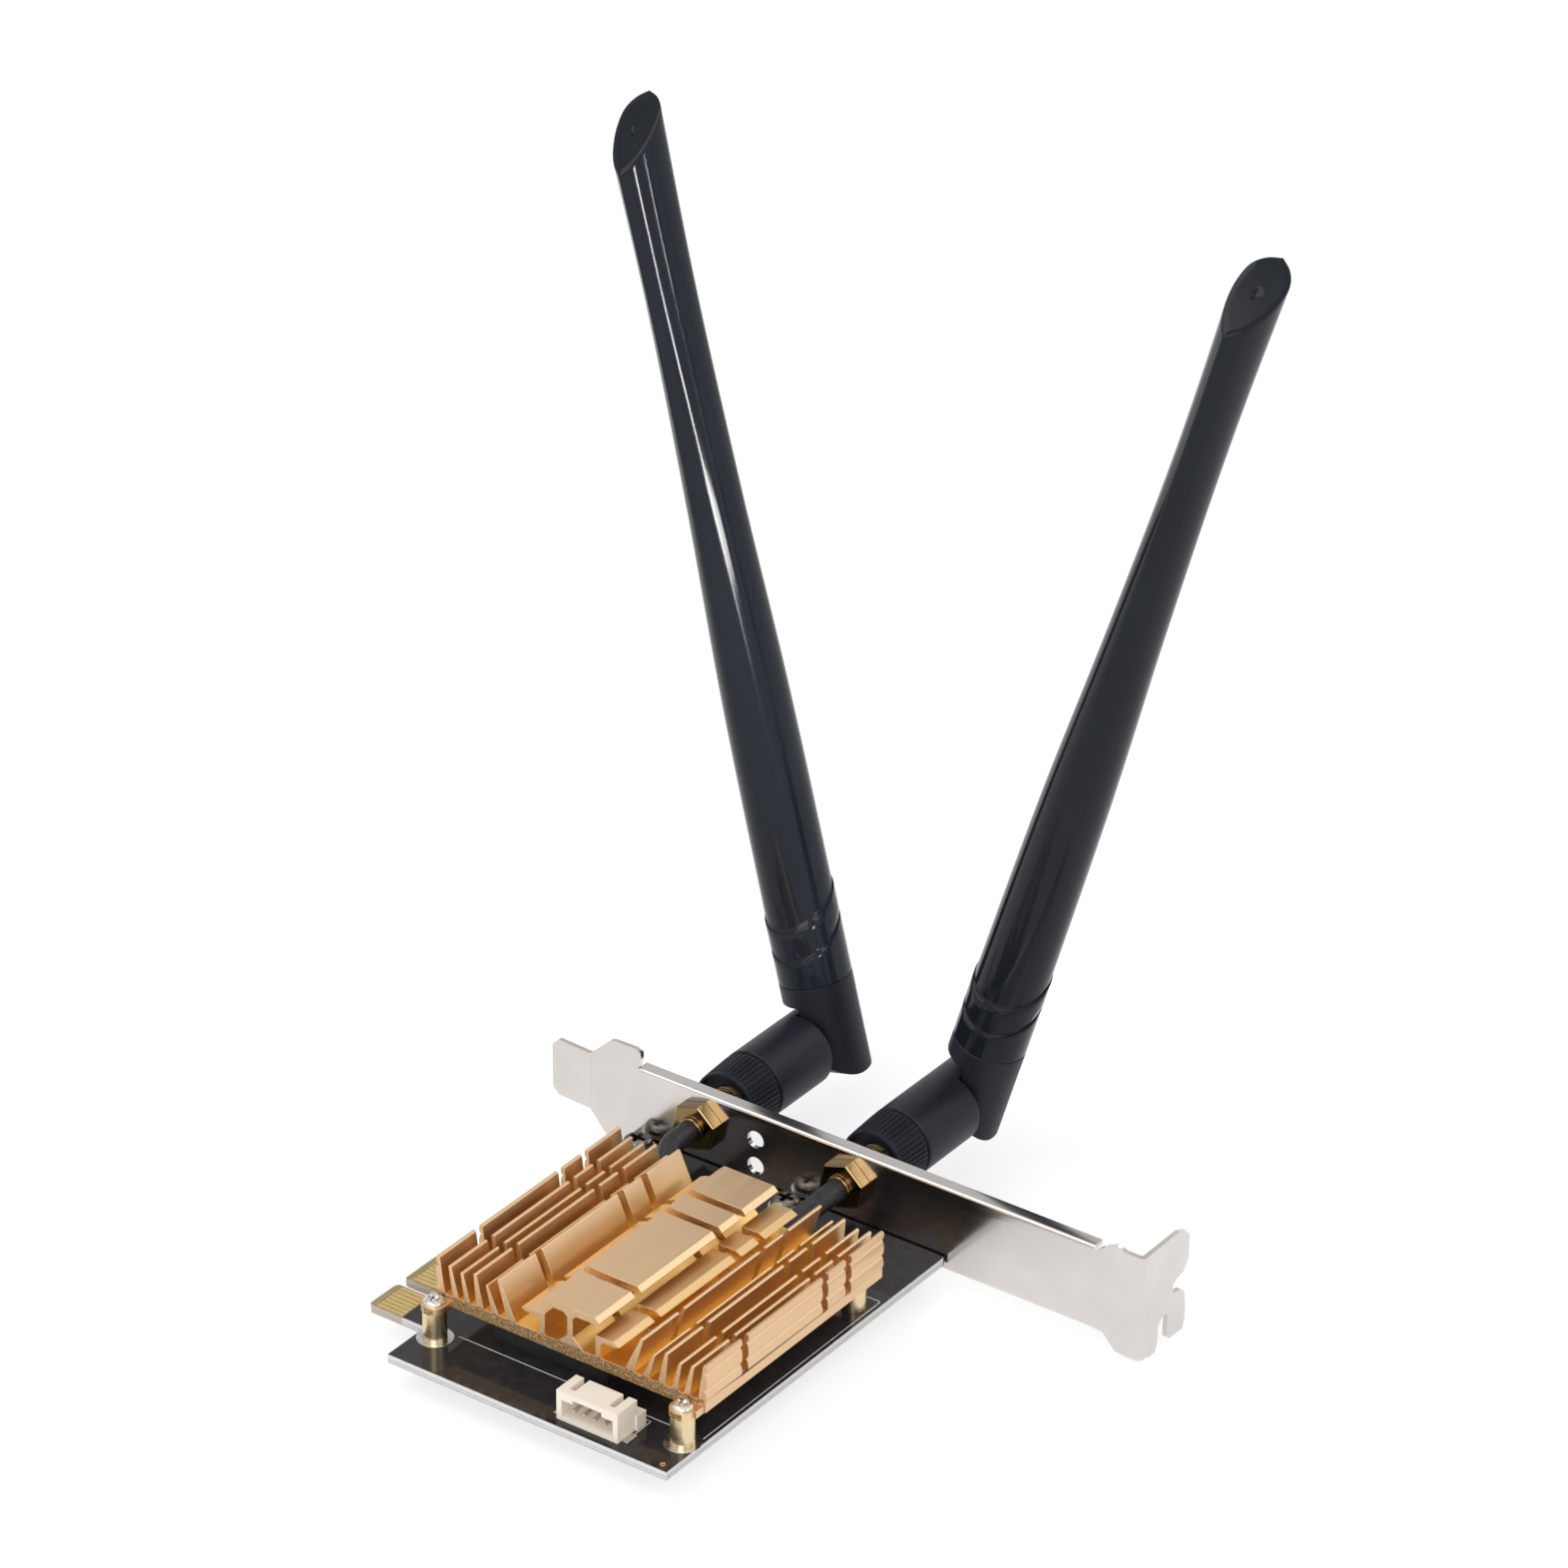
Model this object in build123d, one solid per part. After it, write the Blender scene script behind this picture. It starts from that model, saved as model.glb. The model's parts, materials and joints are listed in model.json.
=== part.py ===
from build123d import *
import os
from math import cos, radians, sin

# Frame: X along the bracket, Y out through the bracket, Z up from the board. Millimetres.
# The shapes are drawn from the bracket's tongue tip, inner face and board top, then moved to ORIGIN.
ORIGIN = (46.75, 0.86, 7.2)

# Circuit board
PCB_T = 1.6
PCB_X = (25.85, 81.58)
PCB_Y = (-77.13, -0.4)
PCB_EAR_X, PCB_EAR_Y = 17.35, -12.0
TIP_X = 14.0
FAR_Y = (-67.4, -60.12)
NEAR_Y = (-58.01, -46.4)
KEY_X = 21.6
CONTACT_W, CONTACT_L, CONTACT_T = 0.72, 5.4, 0.06

# Bracket
BR_T = 0.86
BR_LOW, BR_TOP = -2.5, 13.0
BR_END = 120.02
TONGUE_BEND = 3.1
FLANGE_Y = 2.5
FOLD_R = 0.6
BEND_IN, BEND_OUT = 0.5, 0.8
BR_SCREWS = ((20.7, -3.1), (51.6, -3.35))
VENTS = ((42.9, 8.0), (42.95, 2.9))
VENT_R = 1.65

# Heat sink
SINK_X = 54.9
SINK_Y = (-66.9, -18.4)
BASE_Z = (5.5, 7.65)
BASE_HALF = 26.75

# Fins: inner and outer foot, inner and outer tip, as distances in from the base's edge, and tip height
FINS = (
    (15.90, 14.10, 12.80, 12.12, 14.65),
    (12.45, 11.05, 10.30, 9.80, 12.65),
    (9.35, 7.85, 8.02, 7.35, 13.87),
    (6.65, 5.50, 5.30, 4.67, 13.05),
    (4.35, 3.10, 2.88, 2.23, 13.43),
)

# Outer walls: foot and tip of the inner side, tip height, reach past the base and the lobes rolled along them
WALL_FOOT, WALL_TIP, WALL_TOP, WALL_OUT = 1.50, 0.53, 14.40, 0.25
LOBES, LOBE_H = ((6.5, 9.65), (9.65, 12.8), (12.8, 14.7)), 0.5
SAW_CUTS = ((-57.35, -55.70), (-35.45, -33.90), (-29.05, -27.45))
SAW_Z = 7.4
LUG_R, LUG_TOP = 2.2, 6.85
SINK_EDGES = (SINK_X - BASE_HALF, SINK_X + BASE_HALF)
LUGS = ((SINK_EDGES[0] + 0.87, SINK_Y[0] - 1.95), (SINK_EDGES[1] - 2.84, SINK_Y[0] - 2.16))
REAR_POSTS = ((SINK_EDGES[0] + 3.35, SINK_Y[1] - 3.1), (SINK_EDGES[1] - 3.35, SINK_Y[1] - 3.1))

# Screws and standoffs
POST_R, POST_H = 2.04, 5.5
RING_R, RING_T = 3.1, 0.12
HEAD_R, HEAD_H = 1.79, 0.75
SINK_THREAD_R = 1.0
BR_HEAD_R, BR_HEAD_H, BR_THREAD_R = 2.6, 1.7, 1.25

# Wireless module under the heat sink
MOD_X, MOD_Y = (37.0, 59.0), (-58.0, -28.0)
MOD_Z, MOD_T = 2.4, 0.8
SHIELD_TOP = 4.5

# Four-pin side-entry header
HDR_X, HDR_Y = (58.7, 70.8), (-75.5, -70.3)
HDR_TOP, HDR_BACK_Y, HDR_BACK_Z = 5.55, -68.3, 2.7
PIN_PITCH, PIN_Z, PIN_W = 2.05, 2.5, 0.5

# Antenna sockets and antennas
# Screw axis in X and Z, lean of the antenna and how far its elbow is opened from a right angle
AXES = ((31.6, 7.2, -14.7, 0.0), (61.9, 7.1, 15.3, 3.1))
NAMES = ("left", "right")
HEX_AF, HEX_TURN, HEX_L = 8.0, -12.0, 2.4
COLLAR_R, COLLAR_L = 2.3, 0.9
THREAD_R, JACK_END = 3.1, 11.0
SLEEVE_R, CABLE_R, BEND_R = 1.95, 0.7, 4.0
NUT_Y = (6.7, 14.5)
NUT_R = (6.0, 6.42)
NUT_RIM, NUT_RECESS = 0.55, 1.2
RIDGES, RIDGE_H = 44, 0.32
PIVOT_Y = 36.6
BARREL_Y = (14.6, 29.5)
BARREL_R = 6.42
KNUCKLE_R = 6.9
BLADE_SHOULDER, BLADE_SEAM = 7.15, 10.65
BLADE_R = 6.42
GROOVES = (19.4, 25.1)
GROOVE_TILT, GROOVE_W, GROOVE_D = 29.0, 0.9, 0.35
PIVOT_PIN_R = 1.2
CORNER_R = 2.0
PIN_IN, PIN_OUT = 4.6, 5.2
TIP_LOW, TIP_HIGH = 156.6, 167.6
BORE_R, BORE_STEP, BORE_END = (4.2, 2.2), 58.0, 148.0
SPIGOT = 4.0

# Blade sections: height, half depth along Y, half width, share of the keel-shaped outline
SECTIONS = (
    (20.0, 6.20, 6.28, 0.0),
    (62.0, 6.20, 5.79, 0.25),
    (98.0, 5.53, 4.56, 0.6),
    (135.0, 5.44, 3.81, 1.0),
    (172.0, 6.23, 4.31, 1.0),
)
KEEL = (
    (-1.0, 0.0), (-0.75, 0.45), (-0.45, 0.74), (0.0, 0.96), (0.42, 0.98), (0.66, 0.84),
    (0.87, 0.48), (1.0, 0.0),
)


def box(x, y, z):
    centre = [(a + b) / 2 for a, b in (x, y, z)]
    return Pos(*centre) * Box(x[1] - x[0], y[1] - y[0], z[1] - z[0])


def post(x, y, z, r):
    return Pos(x, y, (z[0] + z[1]) / 2) * Cylinder(r, z[1] - z[0])


def rod_y(x, z, y, r):
    return Pos(x, (y[0] + y[1]) / 2, z) * Rot(90, 0, 0) * Cylinder(r, y[1] - y[0])


def rod_x(x, r):
    return Pos((x[0] + x[1]) / 2, 0, 0) * Rot(0, 90, 0) * Cylinder(r, x[1] - x[0])


def slab_y(points, y):
    """A polygon of X and Z points, from y[0] to y[1]."""
    return Pos(0, y[1], 0) * extrude(Plane.XZ * make_face(Polyline(*points, close=True)), y[1] - y[0])


def slab_x(points, x):
    """A polygon of Y and Z points, from x[0] to x[1]."""
    return Pos(x[0], 0, 0) * extrude(Plane.YZ * make_face(Polyline(*points, close=True)), x[1] - x[0])


def group(pieces):
    """Separate solids kept together under one name."""
    return Compound([solid for piece in pieces for solid in piece.solids()])


def cross_recess(x, y, top, size, depth):
    arm = Pos(x, y, top - depth / 2) * Box(2 * size, 0.28 * size, depth)
    return arm + Pos(x, y, top - depth / 2) * Box(0.28 * size, 2 * size, depth)


def pan_screw(x, y, seat, head, height, thread, tip):
    head_part = post(x, y, (seat, seat + height), head)
    head_part = chamfer(head_part.edges().group_by(Axis.Z)[-1], height * 0.45)
    head_part -= cross_recess(x, y, seat + height, head * 0.55, height * 0.6)
    return head_part + post(x, y, (tip, seat), thread)


def build_board():
    outline = [
        (PCB_X[0], PCB_Y[0]), (PCB_X[1], PCB_Y[0]), (PCB_X[1], PCB_Y[1]), (PCB_EAR_X, PCB_Y[1]),
        (PCB_EAR_X, PCB_EAR_Y), (PCB_X[0], PCB_EAR_Y), (PCB_X[0], NEAR_Y[1]),
        (TIP_X + 0.7, NEAR_Y[1]), (TIP_X, NEAR_Y[1] - 0.7), (TIP_X, NEAR_Y[0] + 0.5),
        (TIP_X + 0.5, NEAR_Y[0]), (KEY_X, NEAR_Y[0]), (KEY_X, FAR_Y[1]),
        (TIP_X + 0.5, FAR_Y[1]), (TIP_X, FAR_Y[1] - 0.5), (TIP_X, FAR_Y[0] + 0.7), (TIP_X + 0.7, FAR_Y[0]),
        (PCB_X[0], FAR_Y[0]),
    ]
    board = Pos(0, 0, -PCB_T) * extrude(make_face(Polyline(*outline, close=True)), PCB_T)
    for side, turn in ((0, -1), (-PCB_T, 1)):
        bevel = Pos(TIP_X, (FAR_Y[0] + NEAR_Y[1]) / 2, side) * Rot(0, 18 * turn, 0)
        board -= bevel * Pos(0, 0, -0.22 * turn) * Box(3.0, 30, 1)
    for x, y in BR_SCREWS:
        board -= post(x, y, (-PCB_T, 0), BR_THREAD_R + 0.25)
    return board


def build_contacts():
    tops = []
    for ys, count in ((FAR_Y, 7), (NEAR_Y, 11)):
        middle = (ys[0] + ys[1]) / 2
        for k in range(count):
            y = middle + (k - (count - 1) / 2)
            for z in (-CONTACT_T, -PCB_T):
                across = (y - CONTACT_W / 2, y + CONTACT_W / 2)
                tops.append(box((TIP_X + 1.6, TIP_X + 1.6 + CONTACT_L), across, (z, z + CONTACT_T)))
    return group(tops)


def tongue_and_plate():
    end = BR_END
    plate = [
        (8.3, 12.32), (12.65, 16.42), (13.5, 16.6), (17.8, 16.68), (19.0, 16.2), (19.07, 14.9),
        (18.4, BR_TOP), (18.4, BR_TOP - FOLD_R), (end - 9.1, BR_TOP - FOLD_R), (end - 8.7, 12.8),
        (end - 7.1, 13.9), (end - 5.2, 14.7), (end - 3.7, 14.05), (end, 14.0), (end, -5.6),
        (end - 2.8, -5.8), (end - 5.0, -5.5), (end - 6.3, -4.0), (end - 7.6, -2.75),
        (end - 11.0, BR_LOW), (11.9, BR_LOW), (11.2, -1.9), (8.3, 1.42),
    ]
    sheet = slab_y(plate, (0, BR_T))
    tongue = slab_y([(0, 11.0), (1.3, 12.32), (8.6, 12.32), (8.6, 1.42), (1.3, 1.42), (0, 2.7)], (0, BR_T))
    return sheet + Pos(8.3, 0, 0) * Rot(0, 0, -TONGUE_BEND) * Pos(-8.3, 0, 0) * tongue


def screw_tab():
    edge = [
        (0, 14.0), (10.4, 14.0), (12.2, 13.45), (13.6, 12.0), (13.7, 7.7), (12.9, 6.3), (12.1, 5.4),
        (10.2, 5.1), (9.3, 4.6), (9.0, 3.6), (9.3, 2.75), (10.3, 2.55), (11.5, 2.45), (12.7, 1.45),
        (13.18, -1.3), (13.1, -4.2), (12.5, -5.8), (8.6, -5.6), (7.83, -4.9), (7.83, -0.9), (7.1, -0.1),
        (6.0, -0.35), (5.1, -1.5), (4.85, -5.0),
        (4.3, -6.1), (2.8, -6.2), (1.8, -5.6), (0, -5.6),
    ]
    return slab_x(edge, (BR_END - BR_T, BR_END))


def stiffening_flange():
    middle, turns = BR_TOP - FOLD_R, [radians(a) for a in range(0, 91, 15)]
    fold = [(FOLD_R - FOLD_R * cos(a), middle + FOLD_R * sin(a)) for a in turns]
    low = BR_TOP - BR_T
    rim = [(FLANGE_Y, BR_TOP), (FLANGE_Y, low), (BR_T + 0.3, low), (BR_T, low - 0.3)]
    return slab_x(fold + rim + [(BR_T, BR_TOP - 2.5), (0, BR_TOP - 2.5)], (18.4, BR_END - 9.6))


def build_bracket():
    part = tongue_and_plate() + screw_tab()
    for x, y, radius in ((BR_END, 0, BEND_OUT), (BR_END - BR_T, BR_T, BEND_IN)):
        upright = part.edges().filter_by(Axis.Z)
        part = fillet(upright.sort_by(lambda e: abs(e.center().X - x) + abs(e.center().Y - y))[0], radius)
    part += stiffening_flange()
    for x, y in BR_SCREWS:
        foot = box((x - 4, x + 4), (-5.0, BR_T / 2), (BR_LOW, -PCB_T)) + post(x, -5.0, (BR_LOW, -PCB_T), 4)
        part += foot - post(x, y, (BR_LOW - 1, 0), BR_THREAD_R)
    for x, z in VENTS:
        part -= rod_y(x, z, (-1, 2), VENT_R)
    for x, z, *_ in AXES:
        part -= rod_y(x, z, (-1, 2), THREAD_R + 0.1)
    return part


def outer_wall(low):
    """Outermost fin, its outer side rolled into long round lobes with a notch between each two."""
    notch = BASE_HALF + WALL_OUT - LOBE_H
    side = []
    for z0, z1 in LOBES:
        for share in (0.0, 0.1, 0.3, 0.5, 0.7, 0.9):
            side.append((notch + LOBE_H * (1 - (2 * share - 1) ** 2) ** 0.5, z0 + share * (z1 - z0)))
    side = [(u, z) for u, z in side if BASE_Z[1] < z < WALL_TOP - 0.2]
    tip = BASE_HALF - WALL_TIP
    crown = [(side[-1][0] - 0.15, WALL_TOP), (tip + 0.15, WALL_TOP), (tip, WALL_TOP - 0.2)]
    foot = BASE_HALF - WALL_FOOT
    return [(foot, low), (BASE_HALF, low)] + side + crown + [(foot, BASE_Z[1])]


def sink_half():
    """Right half of the extrusion's profile, as polygons of distance from the middle and height."""
    low = BASE_Z[1] - 0.3
    shapes = [[(0, BASE_Z[0]), (BASE_HALF, BASE_Z[0]), (BASE_HALF, BASE_Z[1]), (0, BASE_Z[1])]]
    shapes.append([(0, low), (2.7, low), (2.5, BASE_Z[1]), (0.55, 9.5), (0.55, 12.9), (1.3, 13.56),
                   (5.5, 13.6), (5.9, 14.1), (5.0, 14.9), (0, 14.9)])
    shapes.append([(5.05, low), (6.15, low), (6.02, 10.11), (6.66, 10.7), (8.9, 10.7), (9.85, 11.05),
                   (8.56, 11.67), (5.05, 11.67)])
    for *depths, top in FINS:
        u0, u1, t0, t1 = (BASE_HALF - d for d in depths)
        shapes.append([(u0, low), (u1, low), (u1, BASE_Z[1]), (t1, top - 0.2), (t1 - 0.2, top),
                       (t0 + 0.15, top), (t0, top - 0.2), (u0, BASE_Z[1])])
    return shapes + [outer_wall(low)]


def build_heat_sink():
    part = None
    for side in (1, -1):
        for shape in sink_half():
            piece = slab_y([(SINK_X + side * u, z) for u, z in shape], SINK_Y)
            part = piece if part is None else part + piece
    for y in SAW_CUTS:
        part -= box((SINK_X - 2 * BASE_HALF, SINK_X + 2 * BASE_HALF), y, (SAW_Z, 20))
    for (x, y), span in zip(LUGS, ((-LUG_R, LUG_R), (-LUG_R, 2.6))):
        lug = box((x + span[0], x + span[1]), (y, SINK_Y[0] + 0.3), (BASE_Z[0], LUG_TOP))
        part += lug + post(x, y, (BASE_Z[0], LUG_TOP), LUG_R)
        part -= post(x, y, (0, LUG_TOP + 2), SINK_THREAD_R + 0.2)
    return part


def build_header():
    x, y = HDR_X, HDR_Y
    back = box((x[0] - 0.1, x[1] + 0.3), (y[1] - 0.5, HDR_BACK_Y), (0, HDR_BACK_Z))
    part = box(x, y, (0, HDR_TOP)) + back
    part -= box((x[0] + 1.0, x[1] - 1.0), (y[0] - 1, y[1] - 0.6), (0.8, 3.9))
    for slot in ((x[0] + 1.6, x[0] + 2.7), (x[1] - 2.7, x[1] - 1.6)):
        part -= box(slot, (y[0] + 1.4, y[1] + 1), (3.0, 9))
    part -= box((x[0] + 3.2, x[1] - 3.2), (y[0] - 1, y[0] + 0.9), (3.0, 4.6))
    return part


def header_pin_x():
    return [sum(HDR_X) / 2 + (k - 1.5) * PIN_PITCH for k in range(4)]


def header_legs():
    front, back = HDR_Y[0] + 0.6, HDR_BACK_Y
    path = [(front, PIN_Z), (back + 0.4, PIN_Z), (back + 0.4, PIN_W), (back + 1.7, PIN_W), (back + 1.7, 0),
            (back + 0.05, 0), (back + 0.05, PIN_Z - PIN_W), (front, PIN_Z - PIN_W)]
    return [slab_x(path, (x - PIN_W / 2, x + PIN_W / 2)) for x in header_pin_x()]


def header_tabs():
    tabs = []
    for x in (HDR_X[0] - 1.3, HDR_X[1]):
        tabs.append(box((x, x + 1.3), (HDR_Y[0] + 0.9, HDR_Y[1] - 1.6), (0, 0.25)))
    return tabs


def build_jack(x, z):
    hexagon = Plane.XZ * Pos(x, z) * RegularPolygon(HEX_AF / 2, 6, major_radius=False, rotation=HEX_TURN + 30)
    part = extrude(hexagon, HEX_L)
    part = chamfer(part.faces().sort_by(Axis.Y)[0].edges(), 0.25)
    part += rod_y(x, z, (0, JACK_END), THREAD_R) + rod_y(x, z, (-7, -HEX_L), 1.4)
    collar = rod_y(x, z, (-HEX_L - COLLAR_L, -HEX_L), COLLAR_R)
    part += chamfer(collar.edges().group_by(Axis.Y)[0], 0.2)
    return part - rod_y(x, z, (4.0, JACK_END + 1), 2.35)


def hex_ring(x, z, y, across, bore):
    hexagon = Plane.XZ * Pos(x, z) * RegularPolygon(across / 2, 6, major_radius=False)
    ring = Pos(0, y[1], 0) * extrude(hexagon, y[1] - y[0])
    return ring - rod_y(x, z, (y[0] - 1, y[1] + 1), bore)


def star(x, z, y, r):
    points = []
    for k in range(2 * RIDGES):
        a = radians(180 * k / RIDGES)
        reach = r if k % 2 == 0 else r - RIDGE_H
        points.append((x + reach * cos(a), z + reach * sin(a)))
    return Plane.XZ.offset(-y) * make_face(Polyline(*points, close=True))


def build_coupling(x, z):
    part = loft([star(x, z, NUT_Y[0], NUT_R[0]), star(x, z, NUT_Y[1], NUT_R[1])], ruled=True)
    part -= rod_y(x, z, (NUT_Y[0] - 1, NUT_Y[0] + NUT_RECESS), NUT_R[0] - NUT_RIM)
    part -= rod_y(x, z, (NUT_Y[0] - 1, NUT_Y[1]), THREAD_R + 0.08)
    return part - rod_y(x, z, (12.4, NUT_Y[1] + 1), 4.1)


def barrel_place(x, z, lean):
    return Pos(x, PIVOT_Y, z) * Rot(0, lean, 0)


def lap_end(x):
    """Half-lap end seen along the hinge: round where it turns, squarer on the far side."""
    corner = box(x, (0, KNUCKLE_R), (-KNUCKLE_R, 0))
    edge = corner.edges().filter_by(Axis.X).sort_by(lambda e: e.center().Z - e.center().Y)[0]
    return rod_x(x, KNUCKLE_R) + fillet(edge, CORNER_R)


def build_barrel():
    start, stop = BARREL_Y[0] - PIVOT_Y, BARREL_Y[1] - PIVOT_Y
    part = rod_y(0, 0, (start, stop), BARREL_R)
    part = fillet(part.edges().group_by(Axis.Y)[-1], 0.7)
    part = chamfer(part.edges().group_by(Axis.Y)[0], 0.25)
    end = lap_end((-7, -0.1)) + box((-7, -0.1), (stop - 2, 0), (-7, 7))
    part += rod_y(0, 0, (stop - 1.5, KNUCKLE_R), BARREL_R - 0.02) & end
    part -= rod_y(0, 0, (start - 1, start + 9), 2.9)
    return part - rod_x((-PIN_IN, 1), PIVOT_PIN_R)


def build_plug():
    base = -PIVOT_Y
    part = rod_y(0, 0, (base + 12.55, base + 13.5), 3.95)
    part += rod_y(0, 0, (base + 13.0, BARREL_Y[0] + base + 9), 2.9)
    part += rod_y(0, 0, (base + 8.2, base + 12.6), 2.2)
    return part - rod_y(0, 0, (base + 7, base + 12), 1.5)


def build_knuckle():
    tail = lap_end((0.1, 7)) + box((0.1, 7), (-7, 7), (0, BLADE_SHOULDER + 1))
    part = post(0, 0, (-KNUCKLE_R, BLADE_SHOULDER + 1), BLADE_R - 0.02) & tail
    collar = post(0, 0, (BLADE_SHOULDER, BLADE_SEAM), BLADE_R)
    part += chamfer(collar.edges().group_by(Axis.Z)[-1], 0.2)
    part += post(0, 0, (BLADE_SEAM, BLADE_SEAM + SPIGOT), BORE_R[0])
    return part - rod_x((-1, PIN_OUT + 0.1), PIVOT_PIN_R + 0.06)


def blade_section(height, depth, width, keel):
    right = []
    for y, reach in KEEL:
        round_reach = (1 - y * y) ** 0.5
        right.append((width * ((1 - keel) * round_reach + keel * reach), depth * y))
    left = [(-u, y) for u, y in reversed(right)]
    return Pos(0, 0, height) * make_face(Spline(*right) + Spline(*left))


def build_blade():
    sleeve = post(0, 0, (BLADE_SEAM, 2 * GROOVES[1]), BLADE_R)
    sleeve = chamfer(sleeve.edges().group_by(Axis.Z)[0], 0.2)
    wide = 4 * BLADE_R
    sleeve -= Pos(0, 0, GROOVES[1]) * Rot(GROOVE_TILT, 0, 0) * Pos(0, 0, wide / 2) * Box(wide, wide, wide)
    part = loft([blade_section(*row) for row in SECTIONS], ruled=True) + sleeve
    core = post(0, 0, (BLADE_SEAM, 2 * GROOVES[1]), BLADE_R - GROOVE_D)
    for height in GROOVES:
        part -= Pos(0, 0, height) * Rot(GROOVE_TILT, 0, 0) * Cylinder(wide, GROOVE_W) - core
    depth = SECTIONS[-1][1]
    middle, rise = (TIP_LOW + TIP_HIGH) / 2, (TIP_HIGH - TIP_LOW) / (2 * depth)
    part -= slab_x([(-wide, middle - wide * rise), (wide, middle + wide * rise), (wide, middle + 3 * wide),
                    (-wide, middle + 3 * wide)], (-wide, wide))
    part -= Pos(0, 0, middle) * Cylinder(0.3, 1.2)
    part -= post(0, 0, (BLADE_SEAM - 1, BORE_STEP), BORE_R[0])
    return part - post(0, 0, (BORE_STEP - 1, BORE_END), BORE_R[1])


def build_cables(x, z, end):
    """Sleeve from the socket's tail down past the heat sink, and the thin cable on to its plug."""
    start = HEX_L + COLLAR_L
    low = (x + 0.4 * (end[0] - x), -17.5, 3.3)
    run = (end[0], end[1] + 5.0, end[2])
    route = [(x, -start, z), (x, -8.5, z), low, run, end]
    path = FilletPolyline(*route, radius=BEND_R)
    joints = path.edges()
    ring = Plane.XZ.offset(start) * Pos(x, z) * (Circle(SLEEVE_R) - Circle(1.42))
    sleeve = sweep(ring, path=Wire(joints[:4]))
    core = sweep(Plane.XZ.offset(start) * Pos(x, z) * Circle(CABLE_R), path=Wire(joints))
    return sleeve, core - rod_y(x, z, (-7, 0), 2)


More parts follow.
